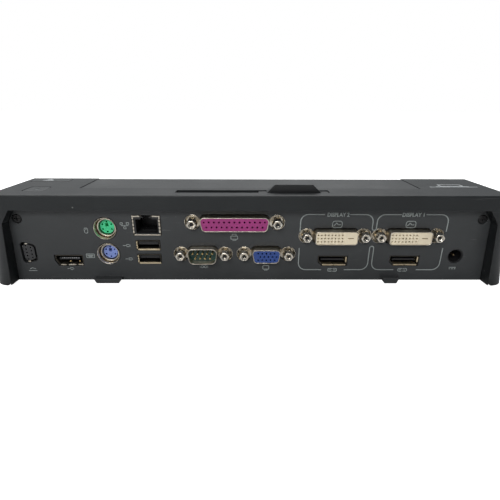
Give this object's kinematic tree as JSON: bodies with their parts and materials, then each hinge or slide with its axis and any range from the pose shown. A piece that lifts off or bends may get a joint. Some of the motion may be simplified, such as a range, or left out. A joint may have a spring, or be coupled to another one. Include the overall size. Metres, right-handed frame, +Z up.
{
  "type": "laptop docking station",
  "caption": "Low docking station with a raised rear bar of ports, a sliding battery bar and its switch, an eject button, and a sloping deck with latch hooks.",
  "frame": {"origin": "on the table, under the middle of the dock's outline", "axes": "+X along the port side, to the right when facing the ports; +Y from the ports towards the user; +Z up"},
  "size_m": [0.2938, 0.165, 0.0563],
  "materials": {
    "casing": "fine-textured charcoal moulding",
    "panel": "fine-textured charcoal moulding with grey print",
    "bar": "fine-textured charcoal moulding",
    "switch": "satin black moulding",
    "button": "satin charcoal moulding",
    "rubber": "matt",
    "black_screw": "black oxide",
    "nickel": "nickel plated, slightly worn",
    "tin_plate": "tin plated, stamped",
    "gold_pins": "gold flash",
    "magenta": "moulded",
    "teal": "moulded",
    "blue": "moulded",
    "ivory": "moulded",
    "green": "moulded",
    "violet": "moulded",
    "black_plastic": "moulded",
    "pin_metal": "plated",
    "steel": "zinc plated",
    "spring_steel": "bright wire",
    "pin_plastic": "acetal",
    "light": "smoked light guide",
    "board": "solder resist"
  },
  "bodies": {
    "base": {"audio_jacks": "black_plastic", "bottom_cover": "casing", "combo_port_shell": "tin_plate", "combo_port_tongue": "black_plastic", "deck_pads": "rubber", "display_port_1_shell": "tin_plate", "display_port_1_tongue": "black_plastic", "display_port_2_shell": "tin_plate", "display_port_2_tongue": "black_plastic", "dock_connector_contacts": "gold_pins", "dock_connector_housing": "black_plastic", "dock_deck": "casing", "dvi_port_1_insert": "ivory", "dvi_port_1_shell": "tin_plate", "dvi_port_2_insert": "ivory", "dvi_port_2_shell": "tin_plate", "eject_spring": "spring_steel", "guide_posts": "steel", "housing_screws": "black_screw", "jackscrews": "nickel", "keyboard_port_insert": "violet", "keyboard_port_shell": "tin_plate", "latch_frame": "steel", "latch_spring": "spring_steel", "lock_plate": "steel", "main_board": "board", "mouse_port_insert": "green", "mouse_port_shell": "tin_plate", "network_jack_insert": "black_plastic", "network_jack_shell": "tin_plate", "panel_screws": "black_screw", "parallel_port_insert": "magenta", "parallel_port_shell": "tin_plate", "port_panel": "panel", "power_jack_body": "black_plastic", "power_jack_pin": "pin_metal", "power_switch": "black_plastic", "rear_housing": "casing", "rubber_feet": "rubber", "serial_port_insert": "teal", "serial_port_pins": "gold_pins", "serial_port_shell": "tin_plate", "side_usb_shells": "tin_plate", "side_usb_tongues": "black_plastic", "stand_connector": "black_plastic", "stand_contacts": "tin_plate", "usb_stack_shell": "tin_plate", "usb_stack_tongues": "black_plastic", "vga_port_insert": "blue", "vga_port_shell": "tin_plate"},
    "battery_bar": {"battery_bar": "bar"},
    "bar_switch": {"bar_switch": "switch"},
    "eject_button": {"eject_button": "button"},
    "latch_slider": {"latch_slider": "steel"},
    "lift_pin_left": {"lift_pin_left": "pin_plastic"},
    "lift_pin_right": {"lift_pin_right": "pin_plastic"},
    "power_button": {"power_button": "button", "power_light": "light"}
  },
  "joints": [
    {"name": "bar_switch_slide", "type": "slide", "parent": "base", "child": "bar_switch", "axis": [-1, 0, 0], "range_m": [0, 0.045]},
    {"name": "battery_bar_slide", "type": "slide", "parent": "base", "child": "battery_bar", "axis": [0, 1, 0], "range_m": [0, 0.01]},
    {"name": "eject_press", "type": "slide", "parent": "base", "child": "eject_button", "axis": [0, 0, -1], "range_m": [0, 0.004], "stiffness_N_per_m": 300, "springref_m": -0.004, "deforming": ["eject_spring"]},
    {"name": "latch_slide", "type": "slide", "parent": "base", "child": "latch_slider", "axis": [1, 0, 0], "range_m": [0, 0.004], "deforming": ["latch_spring"]},
    {"name": "lift_left", "type": "slide", "parent": "base", "child": "lift_pin_left", "axis": [0, 0, 1], "range_m": [0, 0.004]},
    {"name": "lift_right", "type": "slide", "parent": "base", "child": "lift_pin_right", "axis": [0, 0, 1], "range_m": [0, 0.004]},
    {"name": "power_press", "type": "slide", "parent": "base", "child": "power_button", "axis": [0, 0, -1], "range_m": [0, 0.0009], "stiffness_N_per_m": 500, "springref_m": -0.001}
  ],
  "couplings": [
    {"joint": "battery_bar_slide", "follows": "bar_switch_slide", "ratio": 0.22222},
    {"joint": "latch_slide", "follows": "eject_press", "ratio": 1},
    {"joint": "lift_left", "follows": "eject_press", "ratio": 1},
    {"joint": "lift_right", "follows": "eject_press", "ratio": 1}
  ]
}
